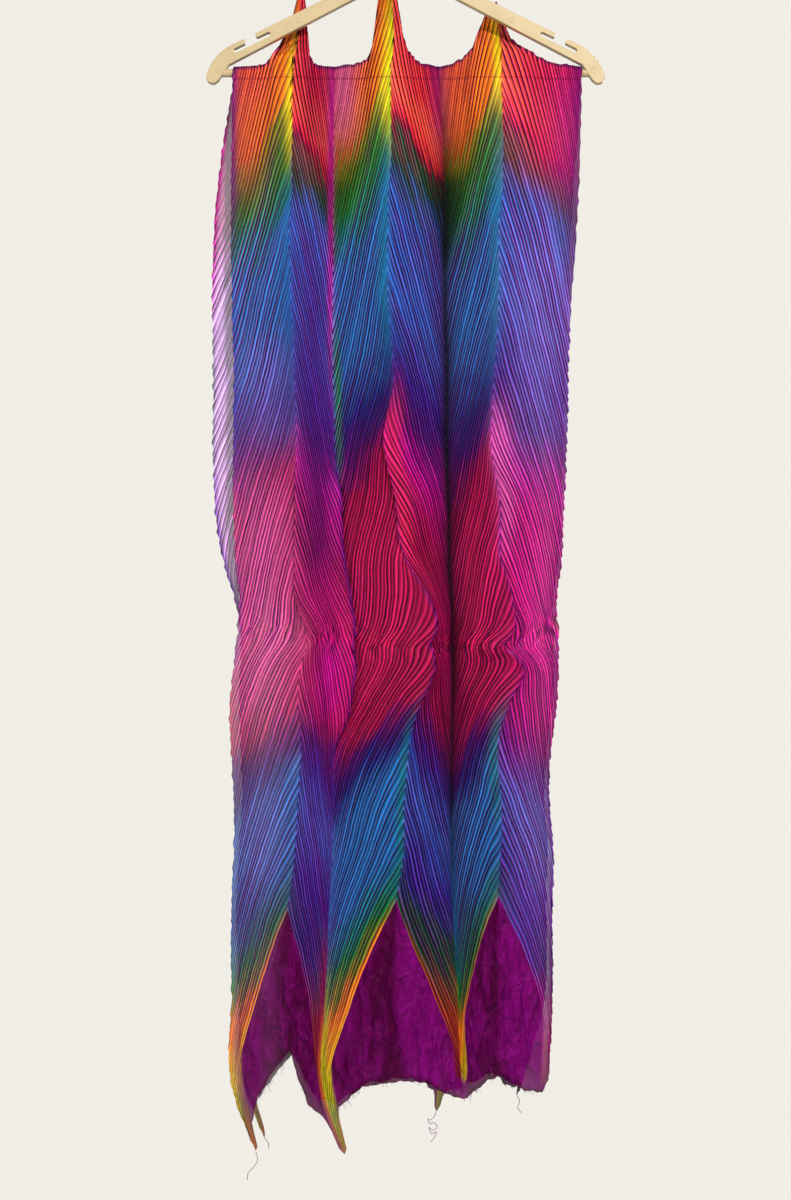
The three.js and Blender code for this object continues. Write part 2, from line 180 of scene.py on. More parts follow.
# %% Crest shapes and hems
CREST_SHAPES = [
    ((0, 0), (0.35, 0.01), (0.57, 0.03), (0.69, 0.14), (0.87, 0.53), (0.95, 0.8), (1, 1)),
    ((0, 0), (0.29, 0.01), (0.44, 0.03), (0.56, 0.12), (0.67, 0.37), (0.83, 0.69), (1, 1)),
    ((0, 0), (0.43, 0.03), (0.6, 0.06), (0.68, 0.17), (0.71, 0.35), (0.75, 0.58), (0.82, 0.8), (1, 1)),
    ((0, 0), (0.3, 0.02), (0.44, 0.05), (0.61, 0.13), (0.73, 0.25), (0.86, 0.53), (0.93, 0.8), (1, 1)),
    ((0, 0), (0.21, 0.05), (0.4, 0.12), (0.57, 0.27), (0.67, 0.5), (0.73, 0.67), (0.85, 0.9), (1, 1)),
    ((0, 0), (0.32, 0.06), (0.5, 0.13), (0.68, 0.3), (0.83, 0.5), (0.92, 0.75), (1, 1)),
]
FRONT_HEM = [
    (0, 1164), (0.1, 1159), (0.16, 1132), (0.45, 1104), (0.8, 1070), (1, 1054), (1.15, 1070), (1.5, 1110),
    (1.8, 1124), (1.89, 1138), (1.93, 1158), (2, 1165), (2.07, 1160), (2.12, 1116), (2.3, 1106), (2.5, 1092),
    (3, 1087), (3.45, 1088), (3.65, 1098), (4, 1106), (4.4, 1096), (4.75, 1084), (5, 1080), (5.3, 1090),
    (5.65, 1098), (5.9, 1098), (6, 1086),
]
BACK_HEM = [
    (0, 1153), (0.1, 1148), (0.15, 1110), (0.5, 1096), (1, 1062), (1.2, 1076), (1.5, 1106), (1.88, 1114),
    (2, 1116), (2.08, 1112), (2.5, 1093), (3, 1087), (3.5, 1092), (3.88, 1104), (3.93, 1119), (4, 1123),
    (4.08, 1116), (4.12, 1104), (4.5, 1096), (5, 1082), (5.5, 1095), (5.9, 1098), (5.95, 1105), (6, 1107),
]
print("hems have", len(FRONT_HEM), "points in front and", len(BACK_HEM), "behind")

# %% [markdown]
# Across, every panel has the same number of columns. Down, there are rows over the bar, three rows to each pleat and
# a few rows in the plain end. The first end row lies close to the last pleat, so the change to plain silk is sharp.

# %% Columns and rows
COLUMNS_A_PANEL = 28
TOP_ROWS = 40
ROWS_A_PLEAT = 3
PLEATS = 75
PLEAT_ROWS = PLEATS * ROWS_A_PLEAT
END_STEPS = np.append(0.012, np.linspace(0.06, 1, 19))

share = np.linspace(0, 6, 6 * COLUMNS_A_PANEL + 1)
panel = np.minimum(share.astype(int), 5)
across = share - panel
climbs_right = panel % 2 == 0
rise = np.where(climbs_right, across, 1 - across)
valley = np.where(climbs_right, panel, panel + 1)
ridge = np.where(climbs_right, panel + 1, panel)
print(len(share), "columns and", TOP_ROWS + PLEAT_ROWS + len(END_STEPS) + 1, "rows in each layer")

# %% [markdown]
# The fold over the bar isn't level: where the pleats stand up it rises to peaks that pass behind the hanger's arms.
# Each panel has its own crest curve, and the loop at the top gets tighter as the peak gets higher.

# %% Crest of every column
WRAP_RADIUS = 7
PEAK_RADIUS = 3
crest = np.zeros(len(share))
for k, shape in enumerate(CREST_SHAPES):
    here = panel == k
    low = LINE_FACTS[0].crest
    peak = LINE_FACTS[k + 1 if k % 2 == 0 else k].crest
    crest[here] = low + (peak - low) * np.interp(rise[here], *zip(*shape))
loop = blend(WRAP_RADIUS, PEAK_RADIUS, soft_step(crest, 7, 50))
stands = soft_step(crest, 12, 30)
print("peaks rise", [round(float(crest[k * COLUMNS_A_PANEL])) for k in (1, 3, 5)], "mm above the bar")


# %% Drop and pleat count of every point of a layer
UPRIGHT_STEP = 6.8
TAIL_STEP = 4.3
OUTER_POWER, INNER_POWER = 1.08, 0.95
END_TURN = 1.6


def pleat_drop(count, rises, back):
    first = np.array([line.first for line in LINE_FACTS], float)
    last = np.array([line.back_last if back else line.front_last for line in LINE_FACTS], float)
    step = (last - first) / PLEAT_ROWS
    at_valley = first[valley] + step[valley] * count
    at_ridge = first[ridge] + np.where(count < 0, UPRIGHT_STEP, step[ridge]) * count
    gone = np.clip(count / PLEAT_ROWS, 0, 1)
    start_power = np.where(climbs_right, OUTER_POWER, INNER_POWER)
    power = blend(start_power, np.array(END_POWERS)[panel], gone**END_TURN)
    return blend(at_valley, at_ridge, rises**power)


def layer_rows(back):
    top = loop - crest
    first = pleat_drop(0.0, rise, back)
    counts = np.linspace(-115, 0, 461)
    ladder = np.array([pleat_drop(c, rise, back) for c in counts])
    drops, phases, plains = [], [], []
    for row in range(TOP_ROWS + 1):
        drop = blend(top, first, row / TOP_ROWS)
        count = np.array([np.interp(drop[c], ladder[:, c], counts) for c in range(len(share))])
        drops.append(drop)
        phases.append(count)
        plains.append(np.zeros(len(share)))
    for row in range(1, PLEAT_ROWS + 1):
        pleat = row // ROWS_A_PLEAT
        uneven = 0.3 * math.sin(2.4 * pleat) + 0.22 * math.sin(5.3 * pleat + 1)
        sway = 2.6 * ripple(share * 3, row / 20, 6.0) + 1.2 * ripple(share * 5, row / 6.5, 2.0)
        sway = sway * soft_step(row, 0, 25) * (1 - 0.7 * soft_step(row, PLEAT_ROWS - 15, PLEAT_ROWS))
        drops.append(pleat_drop(row + uneven * (row < PLEAT_ROWS), rise, back) + sway)
        phases.append(np.full(len(share), float(row)))
        plains.append(np.zeros(len(share)))
    hem = np.interp(share, *zip(*(BACK_HEM if back else FRONT_HEM)))
    hem = hem + 2.2 * ripple(share * 7, share * 3, 2.0 if back else 5.0)
    last = drops[TOP_ROWS + PLEAT_ROWS]
    for step in END_STEPS:
        drops.append(blend(last, hem, step))
        phases.append(PLEAT_ROWS + (drops[-1] - last) / TAIL_STEP)
        plains.append(np.full(len(share), step))
    return np.array(drops), np.array(phases) / ROWS_A_PLEAT, np.array(plains)


front_drop, front_phase, front_plain = layer_rows(False)
back_drop, back_phase, back_plain = layer_rows(True)
print("front hem drops", round(front_drop[-1].min()), "to", round(front_drop[-1].max()), "mm")

# %% [markdown]
# ## Laps and the storage crease
# Some folds tip over and hide the edge of the next panel. In a grid that is only a sideways push that grows towards
# the ridge and stops short just past it. Halfway down a sharp crease from storage pinches the ridges.

# %% Sideways and outward pushes
Lap = namedtuple("Lap", "line start stop reach lift")
LAPS = [
    Lap(1, -60, 150, 5, 2),
    Lap(3, -60, 120, 4, 2),
    Lap(5, -60, 150, 4, 2),
    Lap(1, 430, 600, -4, 2),
    Lap(2, 440, 720, 9, 8),
    Lap(3, 350, 520, -7, 3),
    Lap(3, 555, 690, 8, 4),
    Lap(5, 540, 690, 8, 4),
    Lap(1, 690, 880, 3, 2),
    Lap(5, 720, 860, 3, 2),
]
COVER_WIDTH = 0.16
COVERED_WIDTH = 0.02
LAP_EASE = 30
CREASE_REACH = 9
CREASE = [(0, 598), (1, 608), (2, 612), (3, 620), (4, 616), (5, 613), (6, 600)]


def pushes(drop):
    aside = np.zeros(drop.shape)
    lift = np.zeros(drop.shape)
    for lap in LAPS:
        begun = soft_step(drop, lap.start - LAP_EASE, lap.start + LAP_EASE)
        over = soft_step(drop, lap.stop - LAP_EASE, lap.stop + LAP_EASE)
        away = share - lap.line
        width = np.where(away * lap.reach <= 0, COVER_WIDTH, COVERED_WIDTH)
        grip = begun * (1 - over) * np.exp(-((away / width) ** 2))
        aside += lap.reach * grip
        lift += lap.lift * grip
    gap = drop - np.interp(share, *zip(*CREASE))
    pinch = np.exp(-((gap / CREASE_REACH) ** 2))
    aside += pinch * (1.8 * np.sin(17 * share + 0.16 * gap) + 0.5 * np.sin(43 * share))
    lift += pinch * (2.0 * np.sin(23 * share + 1) - 4.0 * rise)
    return aside, lift


print("laps reach", [lap.reach for lap in LAPS], "mm")

# %% [markdown]
# ## From counts to places
# Each layer now gets its places in space. Across, a point lies between its two fold lines. In depth the cloth starts
# close round the bar and eases out to the zigzag of ridges and valleys; the peaks lean back to pass behind the
# arms. The back layer is the same cloth seen in a mirror, shifted a little to the side.

# %% Places of both layers
BAR_Z = -193
PEAK_LEAN = 24
RIDGE_STAND = 8
HANG_START = 130
depth = blend(
    np.array([line.depth for line in LINE_FACTS])[panel],
    np.array([line.depth for line in LINE_FACTS])[panel + 1],
    across,
)


def lean_back(x, height):
    arm = -BAR_Z - 85 - 0.525 * np.abs(x)
    return PEAK_LEAN * soft_step(height, 0.45 * arm, 0.85 * arm) * stands


def layer_places(drop, plain, back):
    x = np.zeros(drop.shape)
    for c in range(len(share)):
        ends = []
        for line in (panel[c], panel[c] + 1):
            place = line_place(FRONT_LINES, line, drop[:, c])
            ends.append(place + (line_place(BACK_SHIFT, line, np.maximum(drop[:, c], 0)) if back else 0))
        x[:, c] = blend(ends[0], ends[1], across[c])
    aside, lift = pushes(drop)
    hung = soft_step(drop, 0, HANG_START)
    x += aside * (0.4 if back else 1)
    x += hung * 1.2 * ripple(share * 1.5, drop / 55, 2.0 if back else 5.0)
    gap = WRAP_RADIUS + RIDGE_STAND * stands
    wave = 11 + 5 * ripple(share * 1.6, drop / 60, 1.0 if back else 4.0)
    folded = blend(depth + lift, np.minimum(wave, depth + 7), plain)
    folded = folded + 1.6 * ripple(share * 1.2, drop / 70, 3.0 if back else 7.0) * soft_step(depth, 3, 12)
    out = blend(gap, folded, hung)
    high = crest - loop
    near = np.clip(-drop / np.maximum(high, 0.01), 0, 1)
    out = np.where(drop < 0, blend(gap, loop, near), out)
    y = (1 if back else -1) * out + np.where(drop < 0, lean_back(x, -drop), 0)
    return np.stack([x, y, BAR_Z - drop], axis=-1)


front = layer_places(front_drop, front_plain, False)
back = layer_places(back_drop, back_plain, True)
print("front layer is", round(float(np.ptp(front[..., 0]))), "mm wide")

# %% [markdown]
# The two layers and the loop between them are stacked into one grid that runs from the front hem, over the fold, to
# the back hem.

# %% One sheet from hem to hem
FOLD_ANGLES = (60, 30, 0, -30, -60)
fold = []
for angle in FOLD_ANGLES:
    turn = math.radians(angle)
    lean = lean_back(front[0, :, 0], crest - loop)
    y = lean - loop * math.sin(turn)
    fold.append(np.stack([front[0, :, 0], y, BAR_Z + crest - loop + loop * math.cos(turn)], axis=-1))
folds = len(FOLD_ANGLES)
base = np.concatenate([front[::-1], np.array(fold), back])
drop = np.concatenate([front_drop[::-1], np.tile(-crest, (folds, 1)), back_drop])
phase = np.concatenate([front_phase[::-1], np.tile(front_phase[0], (folds, 1)), back_phase])
plain = np.concatenate([front_plain[::-1], np.zeros((folds, len(share))), back_plain])
is_back = np.concatenate([np.zeros(front_drop.shape), np.zeros((folds, len(share))), np.ones(back_drop.shape)])
print("sheet of", base.shape[0], "by", base.shape[1], "points")

# %% [markdown]
# ## Raising the pleats
# A pleat in this silk is a knife pleat: a short steep face in shade and a broad face that carries the dye. The grid
# has three rows to each pleat, so a crest, a groove and one point on the way back up are all there is to set. They
# are pushed out along the cloth's own normal.

# %% Knife pleats
PLEAT_HEIGHT = 1.0
EDGE_SCALLOP = 0.7
CRINKLE_HEIGHT = 1.4


def pleat_wave(count):
    turn = count % 1
    return np.where(turn < 1 / 3, 1 - 6 * turn, 3 * turn - 2)


normal = np.cross(np.gradient(base, axis=1), np.gradient(base, axis=0))
normal /= np.maximum(np.linalg.norm(normal, axis=2, keepdims=True), 1e-9)
relief = np.concatenate([np.linspace(0, 1, TOP_ROWS + 1), np.ones(PLEAT_ROWS), np.zeros(len(END_STEPS))])
relief = soft_step(np.concatenate([relief[::-1], np.zeros(folds), relief]), 0.85, 1.0)[:, None]
uneven = 1 + 0.35 * ripple(share * 4, phase * 1.7, 1.5)
uneven = uneven * (1 - 0.75 * np.exp(-(((1 - rise) / 0.07) ** 2))) * (1 - 0.6 * np.exp(-((rise / 0.05) ** 2)))
height = PLEAT_HEIGHT * pleat_wave(phase) * relief * uneven
crinkle = ripple(share * 12, drop / 40, 3.0) * soft_step(plain, 0.02, 0.15) * soft_step(rise, 0.1, 0.3)
height = height + CRINKLE_HEIGHT * crinkle
points = base + normal * height[..., None]
edge = np.maximum(np.exp(-share / 0.05), np.exp(-(6 - share) / 0.05))
frill = pleat_wave(phase) * (1 - plain) + 1.3 * ripple(share, phase * 2.3, 4.0)
points[..., 0] += EDGE_SCALLOP * edge * frill
points[..., 2] += 1.3 * pleat_wave(phase) * (1 - soft_step(drop + crest, 0, 12)) * soft_step(crest, 7, 10)
print("pleats stand", round(float(np.abs(height).max()), 2), "mm off the folds")

# %% [markdown]
# ## The mesh
# `create_grid` makes a flat sheet with the right number of points, and every point is then moved to its place. Each
# four-sided face is parted along the diagonal that follows the pleats, so that crests stay sharp.

# %% Scarf mesh
rows, columns = drop.shape
bm = bmesh.new()
bmesh.ops.create_grid(bm, x_segments=columns - 1, y_segments=rows - 1, size=1)
for vertex, place in zip(bm.verts, points.reshape(-1, 3) * MM):
    vertex.co = place
rising = np.abs(phase[:-1, :-1] - phase[1:, 1:])
falling = np.abs(phase[:-1, 1:] - phase[1:, :-1])
long_rising = np.linalg.norm(base[:-1, :-1] - base[1:, 1:], axis=2)
long_falling = np.linalg.norm(base[:-1, 1:] - base[1:, :-1], axis=2)
part_rising = np.where(np.abs(rising - falling) > 0.05, rising < falling, long_rising < long_falling).ravel()
bm.faces.ensure_lookup_table()
faces = list(bm.faces)
for face in faces:
    face.smooth = True
bmesh.ops.triangulate(bm, faces=[f for f, r in zip(faces, part_rising) if r], quad_method="FIXED")
bmesh.ops.triangulate(bm, faces=[f for f, r in zip(faces, part_rising) if not r], quad_method="ALTERNATE")
scarf_mesh = bpy.data.meshes.new("scarf_silk")
bm.to_mesh(scarf_mesh)
bm.free()
scarf = bpy.data.objects.new("scarf_silk", scarf_mesh)
bpy.context.collection.objects.link(scarf)
print("scarf has", len(scarf_mesh.polygons), "triangles")

# %% [markdown]
# ## Dye
# Dye was laid on in rings round the pole, so its bands cross the cloth as chevrons: they sit higher on the ridges
# than in the valleys. Each point carries its place along the bands, the kind of face it lies on, its pleat count,
# and any stain that a fold caught by itself. The same stain layer also carries painted shade, dark patches along
# valley D where the deep fold lies in shade.

# %% Palette
DYES = {
    "lemon": (230, 200, 16),
    "lime": (164, 190, 18),
    "marigold": (240, 114, 22),
    "amber": (206, 98, 22),
    "saffron": (236, 150, 34),
    "coral": (236, 84, 58),
    "scarlet": (214, 40, 48),
    "crimson": (152, 12, 58),
    "claret": (100, 2, 40),
    "rose": (208, 38, 82),
    "ruby": (174, 22, 72),
    "cerise": (176, 14, 100),
    "fuchsia": (226, 28, 146),
    "heather": (226, 88, 154),
    "orchid": (216, 96, 170),
    "lilac": (204, 150, 226),
    "amethyst": (150, 66, 196),
    "magenta": (184, 8, 138),
    "purple": (112, 0, 120),
    "mauve": (132, 6, 118),
    "grape": (140, 16, 150),
    "aubergine": (80, 1, 58),
    "plum": (62, 8, 84),
    "violet": (84, 50, 170),
    "iris": (110, 106, 198),
    "indigo": (34, 24, 122),
    "navy": (12, 22, 96),
    "cobalt": (36, 82, 164),
    "azure": (26, 96, 158),
    "lagoon": (8, 108, 140),
    "teal": (4, 100, 104),
    "pine": (8, 60, 36),
    "moss": (48, 92, 16),
    "leaf": (14, 108, 34),
    "olive": (122, 116, 16),
    "bronze": (112, 70, 10),
    "ember": (150, 48, 12),
    # not a dye: the near-black colour of the painted shade laid in valley D
    "shadow": (6, 0, 10),
}
OUTER_BANDS = [
    (-60, "crimson"), (40, "rose"), (78, "coral"), (122, "marigold"), (150, "amber"), (170, "olive"),
    (192, "moss"), (228, "leaf"), (262, "teal"), (290, "azure"), (340, "azure"), (402, "navy"), (436, "plum"),
    (478, "crimson"), (560, "ruby"), (650, "ruby"), (732, "crimson"), (758, "plum"), (784, "navy"),
    (822, "azure"), (930, "azure"),
    (968, "teal"), (988, "leaf"), (1012, "olive"), (1030, "marigold"), (1055, "saffron"), (1095, "lemon"),
    (1140, "olive"), (1170, "marigold"),
]
INNER_BANDS = [
    (-60, "crimson"), (5, "crimson"), (40, "scarlet"), (80, "coral"), (106, "scarlet"), (118, "claret"),
    (131, "pine"), (155, "pine"), (185, "cobalt"), (310, "cobalt"), (380, "indigo"), (420, "plum"),
    (465, "magenta"), (540, "crimson"), (620, "ruby"), (712, "crimson"), (748, "plum"), (775, "indigo"),
    (830, "cobalt"), (910, "indigo"), (940, "pine"), (970, "pine"), (992, "bronze"), (1015, "ember"),
    (1100, "claret"), (1170, "purple"),
]
OUTER_GROUND = [
    (-60, "claret"), (150, "claret"), (210, "pine"), (270, "navy"), (425, "navy"), (480, "claret"),
    (710, "claret"), (785, "navy"), (930, "navy"), (990, "pine"), (1040, "claret"), (1170, "claret"),
]
INNER_GROUND = [
    (-60, "magenta"), (110, "crimson"), (160, "pine"), (210, "indigo"), (400, "indigo"), (440, "purple"),
    (490, "claret"), (710, "claret"), (785, "indigo"), (920, "indigo"), (1000, "claret"), (1170, "claret"),
]
# tints of the painted highlight lines along the crests of inner pleats
INNER_HIGHLIGHT_TINTS = [
    (-60, "coral"), (110, "coral"), (160, "moss"), (220, "amethyst"), (420, "amethyst"), (480, "fuchsia"),
    (700, "fuchsia"), (780, "amethyst"), (960, "amethyst"), (1020, "marigold"), (1170, "orchid"),
]


def dye(name):
    tone = np.array(DYES[name]) / 255
    linear = np.where(tone <= 0.04045, tone / 12.92, ((tone + 0.055) / 1.055) ** 2.4)
    return (*(float(v) for v in linear), 1.0)


print(len(DYES), "dyes,", len(OUTER_BANDS), "bands on outer faces and", len(INNER_BANDS), "on inner ones")

# %% Place along the bands
TOP_LEAD = {1: (140, 50), 3: (162, 65), 5: (160, 67)}
LEAD_SHARE = ((-100, 1.0), (190, 1.0), (330, 0.42), (700, 0.45), (900, 0.75), (1150, 0.8))
lead = np.zeros(drop.shape)
for line, (outer_lead, inner_lead) in TOP_LEAD.items():
    outer = (ridge == line) & climbs_right
    inner = (ridge == line) & ~climbs_right
    spread = outer_lead * np.interp(drop, *zip(*LEAD_SHARE))
    bow = blend(0.42 + 0.58 * rise**2.2, rise, soft_step(drop, 250, 450))
    lead[:, outer] = (spread * bow)[:, outer]
    lead[:, inner] = (inner_lead * np.ones(drop.shape) * rise)[:, inner]
band = np.where(drop < 20, 20 + 0.25 * (drop - 20), drop) + lead
print("bands run from", round(float(band.min())), "to", round(float(band.max())), "mm")

# %% Stains and painted shade
Patch = namedtuple("Patch", "share drop wide long dye strength")
STAINS_AND_PAINTED_SHADE = [
    Patch(0.25, 40, 0.35, 90, "coral", 0.5),
    Patch(0.0, 60, 0.1, 120, "purple", 0.9),
    Patch(0.97, 20, 0.07, 75, "lemon", 0.75),
    Patch(1.55, 40, 0.35, 75, "crimson", 0.6),
    Patch(2.15, 15, 0.25, 60, "orchid", 0.6),
    Patch(1.94, 140, 0.07, 190, "magenta", 0.95),
    Patch(2.93, -10, 0.09, 75, "lemon", 0.7),
    Patch(2.98, 0, 0.04, 90, "lime", 0.8),
    Patch(2.92, 190, 0.1, 100, "lagoon", 0.7),
    Patch(4.92, 190, 0.1, 110, "lagoon", 0.7),
    Patch(4.2, 20, 0.2, 60, "coral", 0.5),
    Patch(4.95, -20, 0.07, 60, "lemon", 0.75),
    Patch(5.6, 55, 0.45, 66, "rose", 0.7),
    Patch(5.85, 70, 0.25, 80, "magenta", 0.6),
    Patch(6.0, 130, 0.12, 180, "purple", 0.85),
    Patch(3.95, 20, 0.15, 60, "magenta", 0.5),
    # painted shade: these two patches darken the top of valley D on both sides, where the fold lies in shade
    Patch(4.15, 165, 0.22, 50, "shadow", 0.5),
    Patch(3.85, 165, 0.2, 50, "shadow", 0.45),
    Patch(1.5, 300, 0.45, 130, "indigo", 0.75),
    Patch(2.08, 350, 0.06, 75, "leaf", 0.9),
    Patch(0.0, 330, 0.08, 110, "indigo", 0.8),
    Patch(5.55, 300, 0.45, 140, "iris", 0.6),
    Patch(0.6, 350, 0.45, 60, "iris", 0.5),
    Patch(3.1, 440, 0.13, 95, "rose", 0.85),
    Patch(5.12, 440, 0.14, 75, "orchid", 0.8),
    Patch(0.5, 570, 0.55, 140, "heather", 0.85),
    Patch(1.5, 490, 0.45, 100, "plum", 0.75),
    Patch(1.5, 605, 0.4, 75, "cerise", 0.75),
    Patch(5.6, 590, 0.5, 145, "fuchsia", 0.85),
    Patch(1.6, 655, 0.3, 45, "magenta", 0.65),
    Patch(1.5, 850, 0.45, 110, "violet", 0.4),
    Patch(2.95, 800, 0.06, 100, "teal", 0.8),
    Patch(4.92, 745, 0.1, 60, "teal", 0.85),
    Patch(5.6, 830, 0.45, 90, "iris", 0.5),
    Patch(0.45, 830, 0.45, 70, "iris", 0.4),
    Patch(0.3, 905, 0.4, 40, "navy", 0.45),
    # painted shade: a darker green beside valley D near its foot
    Patch(4.3, 925, 0.3, 40, "pine", 0.5),
    Patch(1.5, 935, 0.45, 80, "indigo", 0.8),
    Patch(1.9, 1000, 0.08, 60, "crimson", 0.8),
    Patch(1.95, 1090, 0.04, 70, "marigold", 0.8),
    Patch(2.03, 1085, 0.035, 90, "lime", 0.85),
    Patch(5.5, 950, 0.5, 80, "violet", 0.8),
    Patch(5.7, 1040, 0.3, 60, "magenta", 0.85),
    Patch(0.16, 1090, 0.05, 80, "crimson", 0.8),
    Patch(1.985, 570, 0.03, 170, "indigo", 0.85),
    Patch(3.0, 570, 0.025, 120, "indigo", 0.75),
    Patch(5.0, 570, 0.025, 130, "indigo", 0.75),
    Patch(0.0, 590, 0.06, 70, "indigo", 0.7),
    # painted shade: these three patches darken valley D down most of its length, deepest in its middle
    Patch(4.0, 480, 0.3, 420, "shadow", 0.45),
    Patch(4.0, 440, 0.13, 360, "shadow", 0.75),
    Patch(4.0, 480, 0.05, 420, "shadow", 0.95),
]
BACK_STAINS = [
    Patch(0.0, 340, 0.9, 290, "lilac", 0.92),
    Patch(0.0, 90, 0.8, 110, "orchid", 0.9),
    Patch(0.0, 130, 0.06, 130, "magenta", 0.95),
    Patch(0.0, 350, 0.035, 90, "leaf", 0.8),
    Patch(0.0, 520, 0.06, 90, "indigo", 0.8),
]


def spread_of(spot):
    return np.exp(-(((share - spot.share) / spot.wide) ** 2)) * np.exp(-(((drop - spot.drop) / spot.long) ** 4))


def lay_on(under, name, part):
    over = np.append(np.array(dye(name)[:3]), 1.0)
    total = part + under[..., 3] * (1 - part)
    weight = (part / np.maximum(total, 1e-6))[..., None]
    made = blend(under, over, weight)
    made[..., 3] = total
    return made


stain_and_shade = np.zeros(drop.shape + (4,))
for spot in STAINS_AND_PAINTED_SHADE:
    stain_and_shade = lay_on(stain_and_shade, spot.dye, spot.strength * spread_of(spot))
rim = 1 - soft_step(drop + crest, 2, 7)
stain_and_shade = lay_on(stain_and_shade, "plum", 0.75 * rim)
for spot in BACK_STAINS:
    stain_and_shade = lay_on(stain_and_shade, spot.dye, spot.strength * spread_of(spot) * is_back)
print(len(STAINS_AND_PAINTED_SHADE), "stains on both layers and", len(BACK_STAINS), "on the back one alone")

# %% [markdown]
# The silk is sheerer where one layer hangs alone, and denser along its rolled rim. The plain ends begin past the last
# pleat, but in the tails the pleats run on down to the tip.

# %% Sheer places and plain ends
Thin = namedtuple("Thin", "share drop wide long loss")
FRONT_THIN = [
    Thin(0.45, 560, 0.5, 200, 0.16),
    Thin(0.3, 830, 0.5, 190, 0.06),
    Thin(5.75, 540, 0.4, 150, 0.06),
    Thin(5.85, 880, 0.2, 150, 0.12),
    Thin(0.7, 1030, 0.35, 90, 0.2),
]
BACK_THIN = [
    Thin(0.1, 300, 0.45, 330, 0.2),
    Thin(0.0, 300, 0.04, 330, -0.35),
    Thin(0.4, 800, 0.6, 200, 0.35),
    Thin(5.9, 500, 0.4, 400, 0.4),
]
cover = np.full(drop.shape, 0.94)
for spots, side in ((FRONT_THIN, 1 - is_back), (BACK_THIN, is_back)):
    for spot in spots:
        cover -= spot.loss * spread_of(spot) * side
Tail = namedtuple("Tail", "valley width end")
TAILS = [Tail(0, 0.2, 1200), Tail(2, 0.11, 1200), Tail(4, 0.11, 1084), Tail(6, 0.14, 1088)]
beyond = np.ones(drop.shape)
for tail in TAILS:
    outside = soft_step(rise, tail.width - 0.01, tail.width + 0.02)
    past = np.maximum(outside, (drop > tail.end) * (1 - is_back))
    beyond = np.where(valley == tail.valley, past, beyond)
bare = soft_step(plain, 0.0, 0.012) * beyond
single = np.exp(-(((share - 0.6) / 0.3) ** 2))
cover = blend(cover, 0.985 - 0.03 * soft_step(plain, 0.7, 1.0) - 0.1 * single, bare)
print("cover runs from", round(float(cover.min()), 2), "to", round(float(cover.max()), 2))

# %% [markdown]
# Three more facts steer the finish: painted light and shade on the plain ends from fold to fold, lighter on the
# fourth and sixth panels and darkest just before ridges A, C and E; how crisp the pleat lines and their painted
# groove shade and crest highlight stand; and how much purple from the first bath shows in them.

# %% Painted end light and shade, crispness and veins
# painted light and shade across the plain ends, one value for each place across the panels
END_LIGHT_AND_SHADE = [
    (0, 0.6), (0.6, 0.5), (0.95, 0.15), (1.1, 0.2), (1.6, 0.3), (2, 0.4), (2.6, 0.3), (2.96, 0.0), (3.04, 0.6),
    (3.3, 0.85), (3.8, 0.7), (4.1, 0.4), (4.6, 0.3), (4.96, 0.05), (5.04, 0.6), (5.3, 0.9), (6, 0.7),
]
# a little random tone on top, and the last row at the hem darker
end_light_and_shade = np.interp(share, *zip(*END_LIGHT_AND_SHADE)) + 0.1 * ripple(share * 4, drop / 30, 2.0) - 0.9 * (plain > 0.97)
outer_fade = 0.75 * np.exp(-(((1 - rise) / 0.2) ** 2))
inner_fade = 0.5 * np.exp(-(((1 - rise) / 0.06) ** 2))
near_ridge = np.where(climbs_right, outer_fade, inner_fade)
crisp = (1 - near_ridge * (1 - 0.55 * soft_step(drop, 300, 480))) * (1.2 - 0.2 * soft_step(drop, 180, 300))
crisp = crisp * np.where(valley == 4, 1 - 0.8 * np.exp(-((rise / 0.08) ** 2)), 1)
crisp = crisp * (1 - 0.55 * np.exp(-((rise / 0.4) ** 2)) * (1 - soft_step(drop, 100, 240)))
crisp = crisp * (1 - 0.6 * soft_step(drop, 985, 1045))
VEINS = [
    (0, 0.75), (0.5, 0.5), (0.9, 0.25), (1.1, 0.35), (2, 0.4), (2.15, 0.1), (4.9, 0.1), (5.1, 0.7), (6, 0.9),
]
veined = np.interp(share, *zip(*VEINS)) * (0.35 + 0.65 * soft_step(drop, 100, 200))
print("pleat lines fade to", round(float(crisp.min()), 2), "of their strength")


# %% Facts on the mesh
def paint(mesh, name, kind, values):
    layer = mesh.attributes.new(name, kind, "POINT")
    field = "color" if kind == "FLOAT_COLOR" else "value"
    layer.data.foreach_set(field, np.ascontiguousarray(values, np.float32).ravel())


paint(scarf_mesh, "band", "FLOAT", band)
paint(scarf_mesh, "pleat", "FLOAT", phase + PLEATS)
paint(scarf_mesh, "inner", "FLOAT", np.broadcast_to(~climbs_right, drop.shape).astype(float))
paint(scarf_mesh, "plain", "FLOAT", bare)
paint(scarf_mesh, "end_light_and_shade", "FLOAT", end_light_and_shade)
paint(scarf_mesh, "raised", "FLOAT", np.broadcast_to(relief, drop.shape))
paint(scarf_mesh, "cover", "FLOAT", cover)
paint(scarf_mesh, "crisp", "FLOAT", crisp)
paint(scarf_mesh, "veined", "FLOAT", veined)
paint(scarf_mesh, "stain_and_shade", "FLOAT_COLOR", stain_and_shade)
print("facts on the scarf:", ", ".join(layer.name for layer in scarf_mesh.attributes))

# %% [markdown]
# ## Silk
# The cloth is sheer, so part of the light goes straight through and two layers look darker than one. Color Ramps
# play the dye baths, read at the band place. Thin lines along the pleats keep the ground colour of the first bath,
# because the dye didn't reach the bottom of the folds.

# %% Node helpers
def new_finish(name):
    finish = bpy.data.materials.new(name)
    finish.use_nodes = True
    tree = finish.node_tree
    return finish, tree, tree.nodes["Principled BSDF"]


